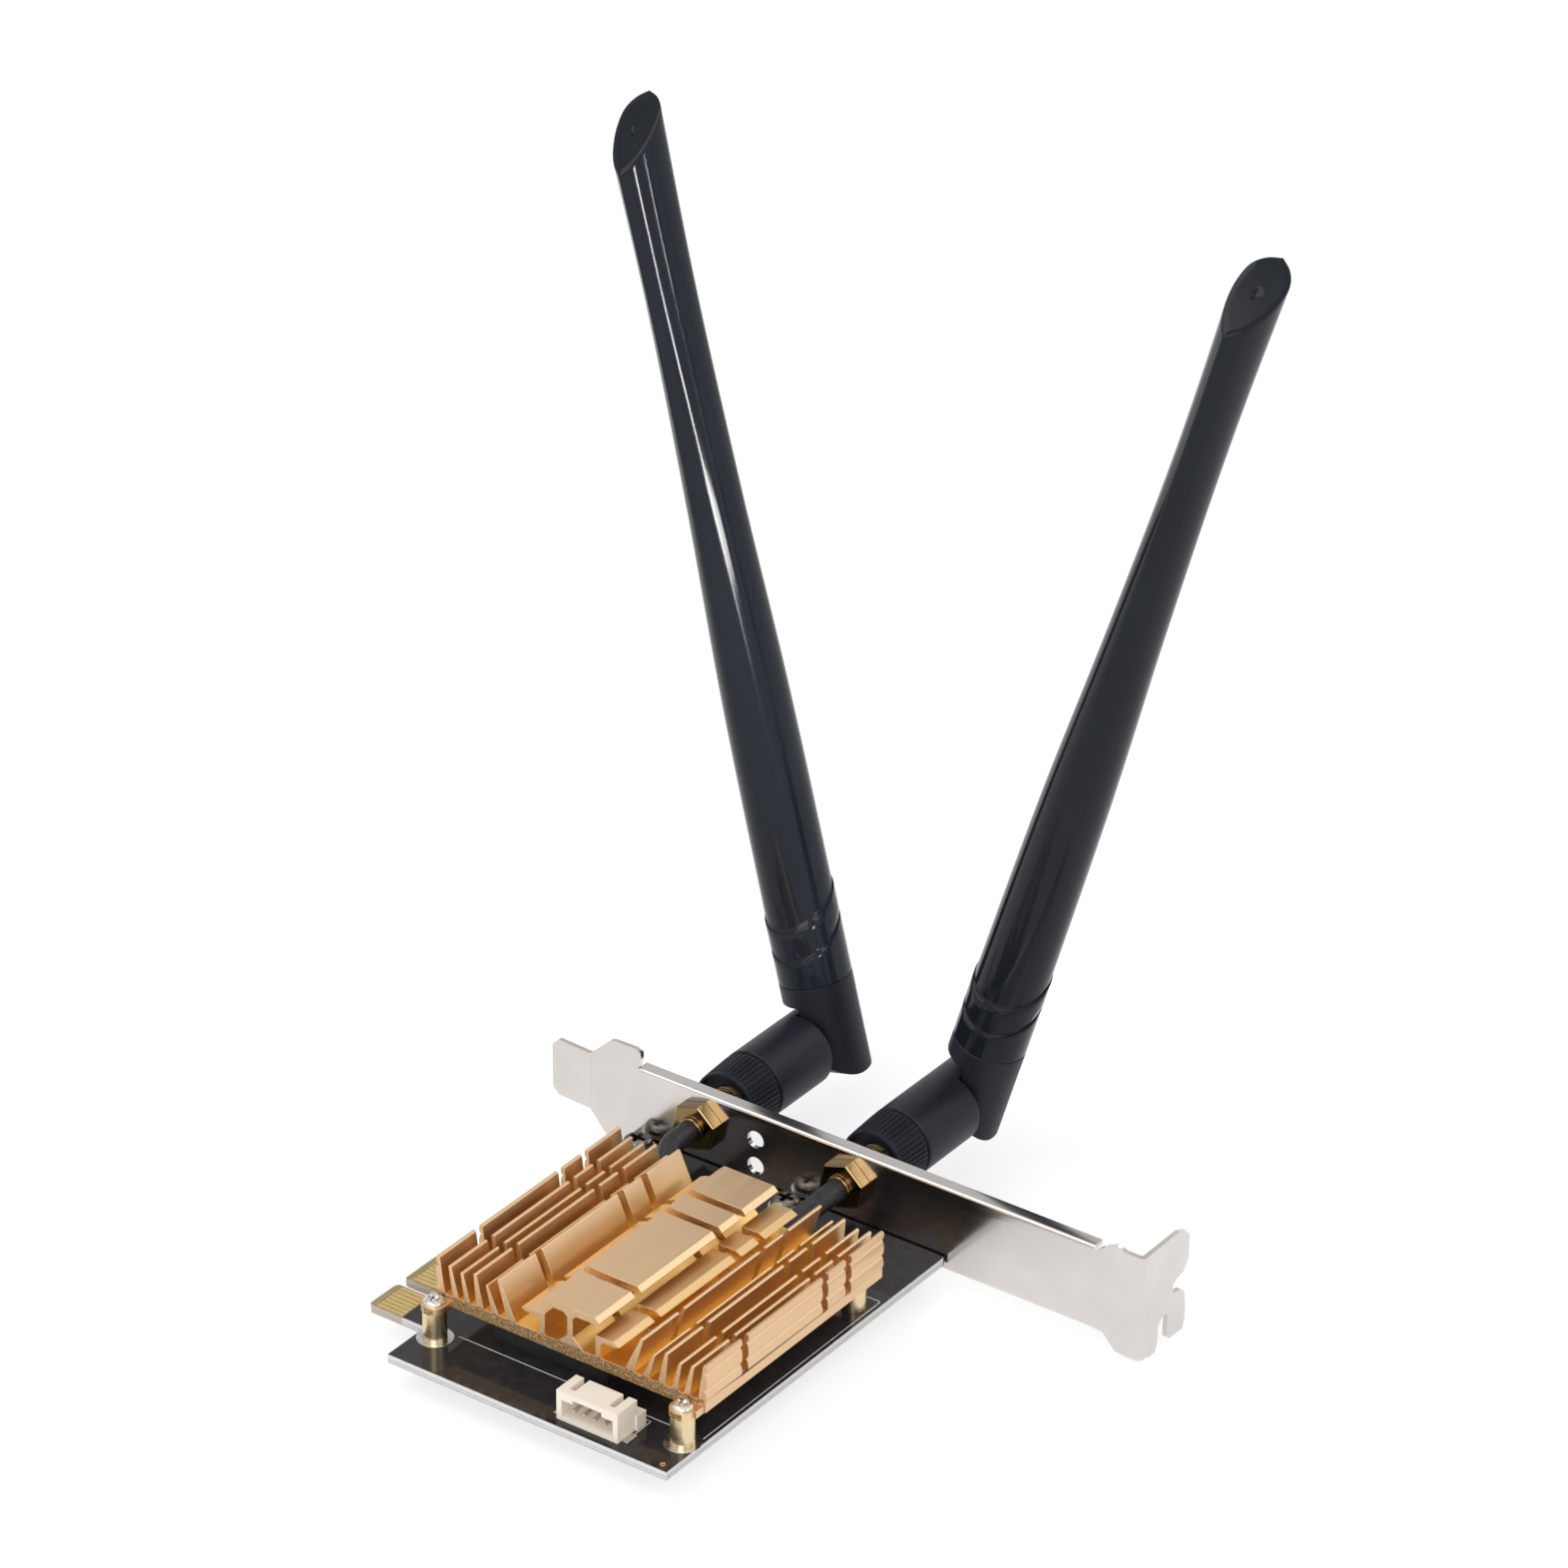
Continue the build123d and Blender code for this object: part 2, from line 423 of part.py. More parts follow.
def build_all():
    nodes = {}
    nodes["edge_contacts"] = build_contacts()
    nodes["circuit_board"] = build_board() - nodes["edge_contacts"].solids()
    nodes["bracket"] = build_bracket()
    nodes["bracket_screws"] = group([
        pan_screw(x, y, 0.1, BR_HEAD_R, BR_HEAD_H, BR_THREAD_R, -3.4) for x, y in BR_SCREWS])
    nodes["bracket_pads"] = group([
        post(x, y, (0, 0.1), 3.0) - post(x, y, (-1, 1), BR_THREAD_R) for x, y in BR_SCREWS])
    nodes["heat_sink"] = build_heat_sink()
    posts = list(LUGS) + list(REAR_POSTS)
    bores = [post(x, y, (POST_H - 3.5, POST_H), SINK_THREAD_R) for x, y in LUGS]
    solids = [post(x, y, (0, POST_H), POST_R) for x, y in posts]
    solids = [solids[0] - bores[0], solids[1] - bores[1], solids[2], solids[3]]
    nodes["standoffs"] = group(solids)
    nodes["standoff_rings"] = group([
        post(x, y, (0, RING_T), RING_R) - post(x, y, (-1, 1), POST_R) for x, y in LUGS])
    nodes["heat_sink_screws"] = group([
        pan_screw(x, y, LUG_TOP, HEAD_R, HEAD_H, SINK_THREAD_R, POST_H - 3) for x, y in LUGS])
    nodes["header_housing"] = build_header()
    for leg in header_legs():
        nodes["header_housing"] -= leg
    nodes["header_pins"] = group(header_legs())
    nodes["header_solder_tabs"] = group(header_tabs())

    mid = sum(MOD_X) / 2
    screw_y = MOD_Y[1]
    module = box(MOD_X, MOD_Y, (MOD_Z, MOD_Z + MOD_T)) - post(mid, screw_y, (0, 9), 1.75)
    nodes["module_board"] = module
    shield_z = (MOD_Z + MOD_T, SHIELD_TOP)
    nodes["module_shield"] = box((MOD_X[0] + 1.2, MOD_X[1] - 1.2), (-52.0, -35.0), shield_z)
    nodes["thermal_pad"] = box((MOD_X[0] + 2, MOD_X[1] - 2), (-51.5, -35.5), (SHIELD_TOP, BASE_Z[0]))
    socket = box((mid - 11.4, mid + 11.4), (-63.0, -54.4), (0, 4.2))
    socket -= box(MOD_X, (-58.0, -50), (MOD_Z, 9))
    nodes["module_socket"] = socket - box(MOD_X, (-57, -50), (MOD_Z - 0.8, 9))
    collar = post(mid, screw_y, (0, MOD_Z), 2.6) + post(mid, screw_y, (MOD_Z, MOD_Z + MOD_T), 1.7)
    nodes["module_standoff"] = collar - post(mid, screw_y, (0.6, 9), 0.9)
    nodes["module_screw"] = pan_screw(mid, screw_y, MOD_Z + MOD_T, 2.6, 0.9, 0.9, 1.2)

    sockets = [(mid - 7.5, -31.0), (mid + 7.5, -31.0)]
    top = MOD_Z + MOD_T
    nodes["aerial_sockets"] = group([
        box((x - 1.3, x + 1.3), (y - 1.3, y + 1.3), (top, top + 0.35)) + post(x, y, (top, top + 1.0), 0.9)
        for x, y in sockets])
    nodes["aerial_plugs"] = group([
        post(x, y, (top + 0.4, top + 1.7), 1.5) - post(x, y, (top, top + 1.05), 0.95)
        + box((x - 0.9, x + 0.9), (y + 1.0, y + 2.6), (top + 0.4, top + 1.7))
        - Pos(x, y + 2.6, top + 1.05) * Rot(90, 0, 0) * Cylinder(0.7, 1.4)
        for x, y in sockets])

    for name, (x, z, lean, unfold), (sx, sy) in zip(NAMES, AXES, sockets):
        sleeve, core = build_cables(x, z, (sx, sy + 1.9, top + 1.05))
        nodes["cable_sleeve_" + name] = sleeve
        nodes["aerial_cable_" + name] = core
        nodes["socket_body_" + name] = build_jack(x, z)
        core_part = rod_y(x, z, (4.0, 5.5), 2.35) + rod_y(x, z, (5.5, 8.6), 0.55)
        nodes["socket_core_" + name] = core_part
        washer = rod_y(x, z, (BR_T, BR_T + 0.5), 4.7)
        nodes["lock_washer_" + name] = washer - rod_y(x, z, (0, 2), THREAD_R + 0.1)
        nodes["lock_nut_" + name] = hex_ring(x, z, (BR_T + 0.5, 3.6), HEX_AF, THREAD_R)
        nodes["coupling_nut_" + name] = build_coupling(x, z)
        place = barrel_place(x, z, lean)
        nodes["antenna_plug_" + name] = place * build_plug()
        nodes["antenna_barrel_" + name] = place * build_barrel()
        nodes["pivot_pin_" + name] = place * rod_x((-PIN_IN, PIN_OUT), PIVOT_PIN_R)
        upright = place * Rot(-unfold, 0, 0)
        nodes["antenna_knuckle_" + name] = upright * build_knuckle()
        nodes["antenna_blade_" + name] = upright * build_blade()
        nodes["antenna_element_" + name] = upright * post(0, 0, (BLADE_SEAM + SPIGOT, BORE_END - 8), 0.6)
    return nodes


os.makedirs("parts", exist_ok=True)
shift = Location((-ORIGIN[0], -ORIGIN[1], -ORIGIN[2]))
for node_name, shape in build_all().items():
    export_step(shape.moved(shift), "parts/" + node_name + ".step")
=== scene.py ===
import json
from math import atan2, cos, exp, hypot, pi, radians, sin, sqrt, tan

import bmesh
import bpy
from mathutils import Matrix, Vector, noise

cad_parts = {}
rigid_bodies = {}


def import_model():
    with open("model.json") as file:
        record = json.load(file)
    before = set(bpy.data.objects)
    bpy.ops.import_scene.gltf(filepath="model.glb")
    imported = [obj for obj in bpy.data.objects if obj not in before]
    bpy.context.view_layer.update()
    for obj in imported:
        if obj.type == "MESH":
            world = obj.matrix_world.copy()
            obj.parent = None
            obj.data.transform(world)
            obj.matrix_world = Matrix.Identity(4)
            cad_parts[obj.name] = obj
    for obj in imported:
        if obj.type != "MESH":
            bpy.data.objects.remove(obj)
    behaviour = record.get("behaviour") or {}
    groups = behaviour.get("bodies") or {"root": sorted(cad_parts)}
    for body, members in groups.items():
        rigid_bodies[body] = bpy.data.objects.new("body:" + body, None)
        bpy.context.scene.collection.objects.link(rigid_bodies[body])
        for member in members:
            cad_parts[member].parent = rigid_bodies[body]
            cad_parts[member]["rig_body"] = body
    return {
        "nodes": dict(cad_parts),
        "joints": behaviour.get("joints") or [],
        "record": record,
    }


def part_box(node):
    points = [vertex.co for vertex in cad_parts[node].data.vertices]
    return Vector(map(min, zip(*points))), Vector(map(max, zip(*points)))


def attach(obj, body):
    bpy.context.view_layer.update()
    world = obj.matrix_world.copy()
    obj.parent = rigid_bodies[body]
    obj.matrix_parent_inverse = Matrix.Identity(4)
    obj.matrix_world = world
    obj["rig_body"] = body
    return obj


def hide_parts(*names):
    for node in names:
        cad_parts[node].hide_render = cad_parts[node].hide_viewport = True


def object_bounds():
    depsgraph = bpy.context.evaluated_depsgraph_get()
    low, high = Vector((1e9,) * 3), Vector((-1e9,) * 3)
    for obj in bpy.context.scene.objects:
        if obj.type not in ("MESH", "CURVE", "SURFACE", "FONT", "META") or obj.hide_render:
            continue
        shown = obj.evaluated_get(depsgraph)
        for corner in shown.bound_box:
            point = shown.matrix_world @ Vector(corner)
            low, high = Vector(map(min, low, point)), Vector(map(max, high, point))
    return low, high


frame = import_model()
cad_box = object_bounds()

# Sizes in millimetres, in the card's frame, unless a name says otherwise
MM = 0.001
SIDES = ("left", "right")
JOINTS = {joint["name"]: joint for joint in frame["joints"]}
BOARD_LOW, BOARD_TOP = (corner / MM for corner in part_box("circuit_board"))
CONTACTS_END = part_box("edge_contacts")[1].x / MM
SINK_LOW, SINK_HIGH = (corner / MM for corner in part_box("heat_sink"))

# Antenna blade, from its hinge: height, half depth, half width, share of the keel outline
BLADE_ROWS = (
    (20.0, 6.20, 6.28, 0.0),
    (62.0, 6.20, 5.79, 0.25),
    (98.0, 5.53, 4.56, 0.6),
    (135.0, 5.44, 3.81, 1.0),
    (172.0, 6.23, 4.31, 1.0),
)
KEEL = ((-1.0, 0.0), (-0.75, 0.45), (-0.45, 0.74), (0.0, 0.96), (0.42, 0.98), (0.66, 0.84), (0.87, 0.48),
        (1.0, 0.0))
RIDGE_ROUND, RIDGE_FADE = 0.32, 0.6
BLADE_SEAM, BLADE_R = 10.65, 6.42
GROOVES, GROOVE_HALF, GROOVE_DEPTH = (19.4, 25.1), 0.45, 0.35
GROOVE_SLOPE = tan(radians(29))
TIP_MIDDLE, TIP_SLOPE = 162.1, 0.8828
TIP_EDGE, TIP_DOT = 0.18, 0.32
AROUND = 96

# Coupling nut, from its front rim
NUT_LENGTH, NUT_RIMS = 7.8, (6.0, 6.42)
KNURLS, KNURL_DEPTH, KNURL_STEPS = 44, 0.34, 8
NUT_BORE, NUT_RECESS = 3.18, (5.45, 1.2)
NUT_BACK_BORE = (4.1, 5.7)
THREAD_ROOT, THREAD_CREST, THREAD_PITCH = 2.78, 3.1, 0.7

# Printed lines on the board: start and end
PRINT_WIDTH, PRINT_THICK = 0.19, 0.012
PRINT_LINES = (
    ((-14.7, -67.2), (28.7, -67.2)),
    ((34.1, -67.1), (34.1, -18.5)),
    ((34.1, -18.5), (30.2, -18.5)),
    ((24.55, -74.9), (24.55, -68.2)),
    ((24.55, -68.2), (22.6, -68.2)),
)
VIA_PLACE, VIA_R = (33.05, -76.5), (0.5, 0.2)
CONTACT_PROUD = 0.025

# Heat sink, from its low corner: outer wall, heights of the painted shade in the fin channels, depth of the
# front lugs, sawn base
SINK_WALL, CHANNEL_SHADE_LOW, CHANNEL_SHADE_HIGH = 1.0, 2.2, 8.0
LUG_DEPTH, SAWN_BASE = 4.5, 2.3

# Camera: the photograph's view
CAMERA_PLACE = (569.27, -799.26, 618.53)
AZIMUTH, ELEVATION, ROLL = 35.4305, 29.2173, 0.5828
FOCAL_MM, SENSOR_MM = 159.57, 36.0


class Finish:
    """A material with a Principled shader and helpers that add the nodes behind it."""

    def __init__(self, name, **values):
        self.material = bpy.data.materials.new(name)
        self.material.use_nodes = True
        self.tree = self.material.node_tree
        self.shader = self.tree.nodes["Principled BSDF"]
        coordinates = self.tree.nodes.new("ShaderNodeTexCoord")
        self.place = coordinates.outputs["Object"]
        self.facing = coordinates.outputs["Normal"]
        self.normal = None
        for name, value in values.items():
            self.put(name, value)

    def put(self, name, value):
        """Sets or links one of the shader's inputs, named with _ for blanks."""
        socket = self.shader.inputs[name.replace("_", " ")]
        self.feed(socket, value)

    def feed(self, socket, value):
        if isinstance(value, bpy.types.NodeSocket):
            self.tree.links.new(value, socket)
        elif isinstance(value, tuple) and len(value) == 3 and socket.type == "RGBA":
            socket.default_value = (*value, 1)
        else:
            socket.default_value = value

    def add(self, kind, inputs, output=0, **settings):
        made = self.tree.nodes.new("ShaderNode" + kind)
        for name, value in settings.items():
            setattr(made, name, value)
        for key, value in inputs.items():
            self.feed(made.inputs[key], value)
        return made.outputs[output]

    def maths(self, operation, a, b=0.0):
        return self.add("Math", {0: a, 1: b}, operation=operation)

    def axis(self, vector, letter):
        return self.add("SeparateXYZ", {0: vector}, output="XYZ".index(letter))

    def grain(self, per_mm, detail=3.0, rough=0.55, twist=0.0):
        """Noise with that many features in a millimetre along X, Y and Z."""
        scale = tuple(share / MM for share in per_mm)
        moved = self.add("Mapping", {"Vector": self.place, "Scale": scale})
        return self.add("TexNoise", {"Vector": moved, "Scale": 1.0, "Detail": detail, "Roughness": rough,
                                     "Distortion": twist})

    def span(self, value, low, high, to_low, to_high):
        return self.add("MapRange", {"Value": value, "From Min": low, "From Max": high, "To Min": to_low,
                                     "To Max": to_high})

    def ramp(self, value, *stops):
        made = self.tree.nodes.new("ShaderNodeValToRGB")
        self.feed(made.inputs[0], value)
        points = made.color_ramp.elements
        while len(points) < len(stops):
            points.new(1.0)
        for point, (place, colour) in zip(points, stops):
            point.position = place
            point.color = (*colour, 1)
        return made.outputs[0]

    def blend(self, share, first, second):
        made = self.tree.nodes.new("ShaderNodeMix")
        made.data_type = "RGBA"
        self.feed(made.inputs[0], share)
        self.feed(made.inputs[6], first)
        self.feed(made.inputs[7], second)
        return made.outputs[2]

    def emboss(self, height, depth_mm, strength=1.0):
        """Adds a relief of that depth to the surface."""
        inputs = {"Height": height, "Distance": depth_mm * MM, "Strength": strength}
        if self.normal is not None:
            inputs["Normal"] = self.normal
        self.normal = self.add("Bump", inputs)
        self.put("Normal", self.normal)


def board_finish():
    """Glossy black solder mask, bare laminate under the contacts and a pale layered edge."""
    f = Finish("board_mask", Specular_IOR_Level=0.32)
    mottle = f.grain((0.5, 0.5, 0.5), detail=4.0)
    mask = f.ramp(mottle, (0.3, (0.022, 0.0205, 0.021)), (0.75, (0.036, 0.034, 0.034)))
    bare = f.ramp(f.grain((2.0, 0.4, 2.0)), (0.3, (0.24, 0.18, 0.075)), (0.7, (0.38, 0.30, 0.14)))
    is_bare = f.maths("LESS_THAN", f.axis(f.place, "X"), (CONTACTS_END + 0.05) * MM)
    top = f.blend(is_bare, mask, bare)
    depth = f.span(f.axis(f.place, "Z"), BOARD_LOW.z * MM, BOARD_TOP.z * MM, 0.0, 1.0)
    ragged = f.span(f.grain((1.1, 1.1, 6.0)), 0.0, 1.0, -0.1, 0.1)
    layer = f.maths("ADD", depth, ragged)
    edge = f.ramp(layer, (0.0, (0.1, 0.1, 0.1)), (0.08, (0.52, 0.51, 0.51)), (0.34, (0.66, 0.65, 0.65)),
                  (0.42, (0.36, 0.36, 0.36)), (0.5, (0.64, 0.63, 0.63)), (0.88, (0.73, 0.72, 0.72)),
                  (0.98, (0.4, 0.4, 0.4)))
    tan_edge = f.blend(0.75, edge, (0.42, 0.34, 0.27))
    edge = f.blend(is_bare, edge, tan_edge)
    upright = f.maths("LESS_THAN", f.maths("ABSOLUTE", f.axis(f.facing, "Z")), 0.6)
    ahead = f.maths("LESS_THAN", f.axis(f.place, "Y"), (BOARD_TOP.y - 0.3) * MM)
    upright = f.maths("MULTIPLY", upright, ahead)
    f.put("Base_Color", f.blend(upright, top, edge))
    dull = f.maths("MAXIMUM", f.maths("MULTIPLY", upright, 0.6), f.maths("MULTIPLY", is_bare, 0.42))
    f.put("Roughness", f.maths("MAXIMUM", dull, f.span(mottle, 0.3, 0.7, 0.06, 0.1)))
    f.emboss(f.grain((0.9, 0.9, 0.9), detail=2.0), 0.012, 0.35)
    f.emboss(f.maths("MULTIPLY", f.grain((3, 3, 3)), upright), 0.06)
    return f.material


def gold_plate_finish(name, colour, dull):
    f = Finish(name, Metallic=1.0)
    stain = f.grain((0.5, 0.5, 0.5), detail=4.0)
    deep = tuple(part * share for part, share in zip(colour, (0.9, 0.84, 0.72)))
    f.put("Base_Color", f.ramp(stain, (0.3, deep), (0.7, colour)))
    f.put("Roughness", f.span(f.grain((4, 4, 4)), 0.3, 0.7, dull - 0.06, dull + 0.1))
    f.emboss(f.grain((1.3, 1.3, 1.3), detail=2.0), 0.006, 0.4)
    return f.material


def anodised_finish():
    """Gold anodised extrusion: drawn lines along Y, a deep orange painted shade low in the fin channels,
    rough sawn ends.
    """
    f = Finish("sink_anodised", Metallic=1.0)
    drawn = f.grain((2.2, 0.03, 2.2), detail=4.0, rough=0.6)
    cloud = f.grain((0.16, 0.1, 0.16), detail=3.0)
    skin = f.ramp(drawn, (0.3, (0.80, 0.548, 0.325)), (0.7, (0.85, 0.592, 0.358)))
    skin = f.blend(f.span(cloud, 0.35, 0.7, 0.0, 0.2), skin, (0.86, 0.61, 0.385))
    from_middle = f.maths("SUBTRACT", f.axis(f.place, "X"), (SINK_LOW.x + SINK_HIGH.x) / 2 * MM)
    within = (SINK_HIGH.x - SINK_LOW.x) / 2 - SINK_WALL
    inside = f.maths("LESS_THAN", f.maths("ABSOLUTE", from_middle), within * MM)
    # Painted shade: deep orange blended into the fin channels inside the outer walls and behind the lugs,
    # strongest at the channel bottom and gone at its top, standing in for shade and coloured bounce light
    # there
    painted_channel_shade = f.span(f.axis(f.place, "Z"), (SINK_LOW.z + CHANNEL_SHADE_LOW) * MM, (SINK_LOW.z + CHANNEL_SHADE_HIGH) * MM,
                    0.9, 0.0)
    behind_lugs = f.maths("GREATER_THAN", f.axis(f.place, "Y"), (SINK_LOW.y + LUG_DEPTH) * MM)
    painted_channel_shade = f.maths("MULTIPLY", f.maths("MULTIPLY", inside, behind_lugs), painted_channel_shade)
    skin = f.blend(painted_channel_shade, skin, (0.93, 0.62, 0.19))
    skin = f.blend(f.maths("SUBTRACT", 0.5, f.maths("MULTIPLY", inside, 0.5)), skin, (0.68, 0.455, 0.275))
    sawn = f.ramp(f.grain((2.2, 2.2, 2.2), detail=5.0, rough=0.75), (0.34, (0.17, 0.095, 0.035)),
                  (0.52, (0.44, 0.28, 0.13)), (0.7, (0.97, 0.80, 0.55)))
    across = f.maths("GREATER_THAN", f.maths("ABSOLUTE", f.axis(f.facing, "Y")), 0.85)
    low = f.maths("LESS_THAN", f.axis(f.place, "Z"), (SINK_LOW.z + SAWN_BASE) * MM)
    end_face = f.maths("MULTIPLY", across, f.span(low, 0.0, 1.0, 0.3, 1.0))
    f.put("Base_Color", f.blend(end_face, skin, sawn))
    dull = f.span(drawn, 0.3, 0.7, 0.36, 0.44)
    f.put("Roughness", f.maths("ADD", dull, f.maths("MULTIPLY", end_face, 0.12)))
    f.emboss(drawn, 0.005, 0.5)
    f.emboss(f.maths("MULTIPLY", f.grain((2.2, 2.2, 2.2), detail=5.0, rough=0.75), end_face), 0.22)
    return f.material


def nickel_finish():
    """Bright plated sheet steel, nearly a mirror, with faint rolling lines along X."""
    f = Finish("bracket_plating", Metallic=1.0)
    rolled = f.grain((0.05, 4.0, 4.0), detail=4.0, rough=0.6)
    cloud = f.grain((0.12, 0.12, 0.12), detail=3.0)
    f.put("Base_Color", f.ramp(cloud, (0.3, (0.64, 0.605, 0.582)), (0.7, (0.69, 0.655, 0.635))))
    dull = f.span(rolled, 0.3, 0.7, 0.12, 0.19)
    f.put("Roughness", f.maths("ADD", dull, f.span(cloud, 0.3, 0.7, 0.0, 0.03)))
    f.emboss(f.grain((0.03, 0.03, 0.03), detail=0.0), 0.1, 0.2)
    f.emboss(rolled, 0.004, 0.5)
    return f.material


def plating_finish(name, colour, dull):
    """Bright plated or tinned small metal parts."""
    f = Finish(name, Metallic=1.0)
    worn = f.grain((1.5, 1.5, 1.5), detail=4.0)
    deep = tuple(part * 0.72 for part in colour)
    f.put("Base_Color", f.ramp(worn, (0.32, deep), (0.62, colour)))
    f.put("Roughness", f.span(worn, 0.3, 0.7, dull, dull + 0.14))
    f.emboss(f.grain((2.5, 2.5, 2.5)), 0.015, 0.5)
    return f.material


def turned_brass_finish():
    f = Finish("standoff_turned", Metallic=1.0)
    rings = f.grain((0.2, 0.2, 5.0), detail=3.0)
    f.put("Base_Color", f.ramp(rings, (0.3, (0.71, 0.57, 0.34)), (0.7, (0.80, 0.66, 0.42))))
    f.put("Roughness", f.span(rings, 0.3, 0.7, 0.26, 0.32))
    f.emboss(rings, 0.002, 0.3)
    return f.material


def moulded_finish(name, dark, light, dull, grain_depth, coat=0.0, level=0.5):
    """Moulded plastic: slight colour drift and a fine spark-eroded grain."""
    f = Finish(name, Coat_Weight=coat, Coat_Roughness=0.06, Specular_IOR_Level=level)
    drift = f.grain((0.1, 0.1, 0.1), detail=4.0)
    f.put("Base_Color", f.ramp(drift, (0.3, dark), (0.7, light)))
    fine = f.grain((5.0, 5.0, 5.0), detail=3.0)
    f.put("Roughness", f.maths("ADD", f.span(fine, 0.3, 0.7, dull - 0.04, dull + 0.05),
                               f.span(drift, 0.3, 0.7, -0.03, 0.03)))
    f.emboss(fine, grain_depth, 0.6)
    return f.material


def shrink_finish():
    """Black heat-shrink sleeve, satin with small wrinkles across it."""
    f = Finish("shrink_sleeve", Specular_IOR_Level=0.45)
    wrinkle = f.grain((0.8, 1.6, 0.8), detail=4.0, twist=0.6)
    f.put("Base_Color", f.ramp(wrinkle, (0.3, (0.006, 0.006, 0.007)), (0.7, (0.02, 0.02, 0.022))))
    f.put("Roughness", f.span(wrinkle, 0.3, 0.7, 0.32, 0.5))
    f.emboss(wrinkle, 0.18, 0.7)
    return f.material


def gloss_blade_finish():
    """Polished blue-black blade with faint handling haze."""
    f = Finish("blade_gloss", Specular_IOR_Level=0.17)
    haze = f.grain((0.12, 0.12, 0.03), detail=4.0)
    speck = f.grain((2.5, 2.5, 2.5), detail=2.0)
    f.put("Base_Color", f.ramp(haze, (0.3, (0.0076, 0.0102, 0.0146)), (0.7, (0.0100, 0.0130, 0.0182))))
    dull = f.span(haze, 0.3, 0.7, 0.07, 0.12)
    f.put("Roughness", f.maths("ADD", dull, f.span(speck, 0.6, 0.8, 0.0, 0.06)))
    f.emboss(f.grain((0.2, 0.2, 0.03), detail=1.0), 0.006, 0.3)
    return f.material


def print_finish():
    f = Finish("board_print", Roughness=0.55)
    ink = f.grain((6, 6, 6), detail=3.0)
    f.put("Base_Color", f.ramp(ink, (0.3, (0.5, 0.5, 0.49)), (0.6, (0.8, 0.8, 0.79))))
    return f.material


FINISHES = {
    "board_black": board_finish(),
    "contact_gold": gold_plate_finish("contact_plating", (0.86, 0.63, 0.27), 0.26),
    "bracket_nickel": nickel_finish(),
    "screw_bright": plating_finish("screw_plating", (0.80, 0.80, 0.81), 0.12),
    "solder_tin": plating_finish("tinned_copper", (0.70, 0.69, 0.68), 0.24),
    "sink_gold": anodised_finish(),
    "standoff_brass": turned_brass_finish(),
    "header_cream": moulded_finish("header_nylon", (0.82, 0.74, 0.63), (0.88, 0.80, 0.69), 0.42, 0.02),
    "module_green": moulded_finish("module_mask", (0.012, 0.05, 0.026), (0.025, 0.09, 0.05), 0.3, 0.01,
                                   coat=0.3),
    "shield_steel": plating_finish("shield_tin", (0.62, 0.62, 0.62), 0.28),
    "pad_grey": moulded_finish("pad_silicone", (0.36, 0.37, 0.39), (0.45, 0.46, 0.48), 0.7, 0.03),
    "socket_black": moulded_finish("socket_nylon", (0.012, 0.012, 0.012), (0.024, 0.024, 0.024), 0.45,
                                   0.02),
    "sleeve_black": shrink_finish(),
    # Painted shade: the socket gold is set far darker than bright plating, standing in for the dark
    # surroundings that its hexagon and thread reflect
    "jack_gold": gold_plate_finish("jack_plating_painted_dark", (0.25, 0.175, 0.085), 0.11),
    "core_white": moulded_finish("core_ptfe", (0.68, 0.68, 0.66), (0.78, 0.78, 0.76), 0.4, 0.01),
    "satin_black": moulded_finish("satin_shell", (0.0102, 0.0111, 0.0166), (0.0136, 0.0147, 0.0218), 0.45,
                                  0.02, level=0.2),
    "pin_steel": moulded_finish("pin_black", (0.012, 0.012, 0.013), (0.02, 0.02, 0.021), 0.36, 0.01),
    "blade_black": gloss_blade_finish(),
}
PRINT = print_finish()
DARK_SCREW = plating_finish("screw_dark", (0.20, 0.185, 0.17), 0.2)
NODE_SLOTS = {part["node"]: part["material_slot"] for part in frame["record"]["subparts"]}


def add_piece(name, mesh, body, slot, finish=None):
    """Puts a mesh into the scene with its finish, riding on a body."""
    piece = bpy.data.objects.new(name, mesh)
    bpy.context.scene.collection.objects.link(piece)
    mesh.materials.clear()
    mesh.materials.append(finish or FINISHES[slot])
    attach(piece, body)
    return piece


def smooth(mesh, corner=32):
    mesh.shade_smooth()
    mesh.set_sharp_from_angle(angle=radians(corner))


def harden(piece):
    """Turns the piece's modifiers into its mesh."""
    graph = bpy.context.evaluated_depsgraph_get()
    done = bpy.data.meshes.new_from_object(piece.evaluated_get(graph), preserve_all_data_layers=True,
                                           depsgraph=graph)
    piece.modifiers.clear()
    piece.data = done


def welded_copy(node):
    """The node's own mesh with shared corners joined and flat stretches made whole."""
    source = frame["nodes"][node].data
    sheet = bmesh.new()
    corners = [sheet.verts.new(vertex.co) for vertex in source.vertices]
    for polygon in source.polygons:
        sheet.faces.new([corners[index] for index in polygon.vertices])
    bmesh.ops.remove_doubles(sheet, verts=sheet.verts, dist=0.0005 * MM)
    bmesh.ops.dissolve_limit(sheet, angle_limit=radians(0.5), verts=sheet.verts[:], edges=sheet.edges[:])
    bmesh.ops.recalc_face_normals(sheet, faces=sheet.faces[:])
    mesh = bpy.data.meshes.new(node + "_mesh")
    sheet.to_mesh(mesh)
    sheet.free()
    return mesh


def soften(piece, width, corner, steps=2):
    bevel = piece.modifiers.new("soft_edges", "BEVEL")
    bevel.width = width * MM
    bevel.segments = steps
    bevel.limit_method = "ANGLE"
    bevel.angle_limit = radians(corner)
    bevel.use_clamp_overlap = True
    bevel.harden_normals = True
    harden(piece)


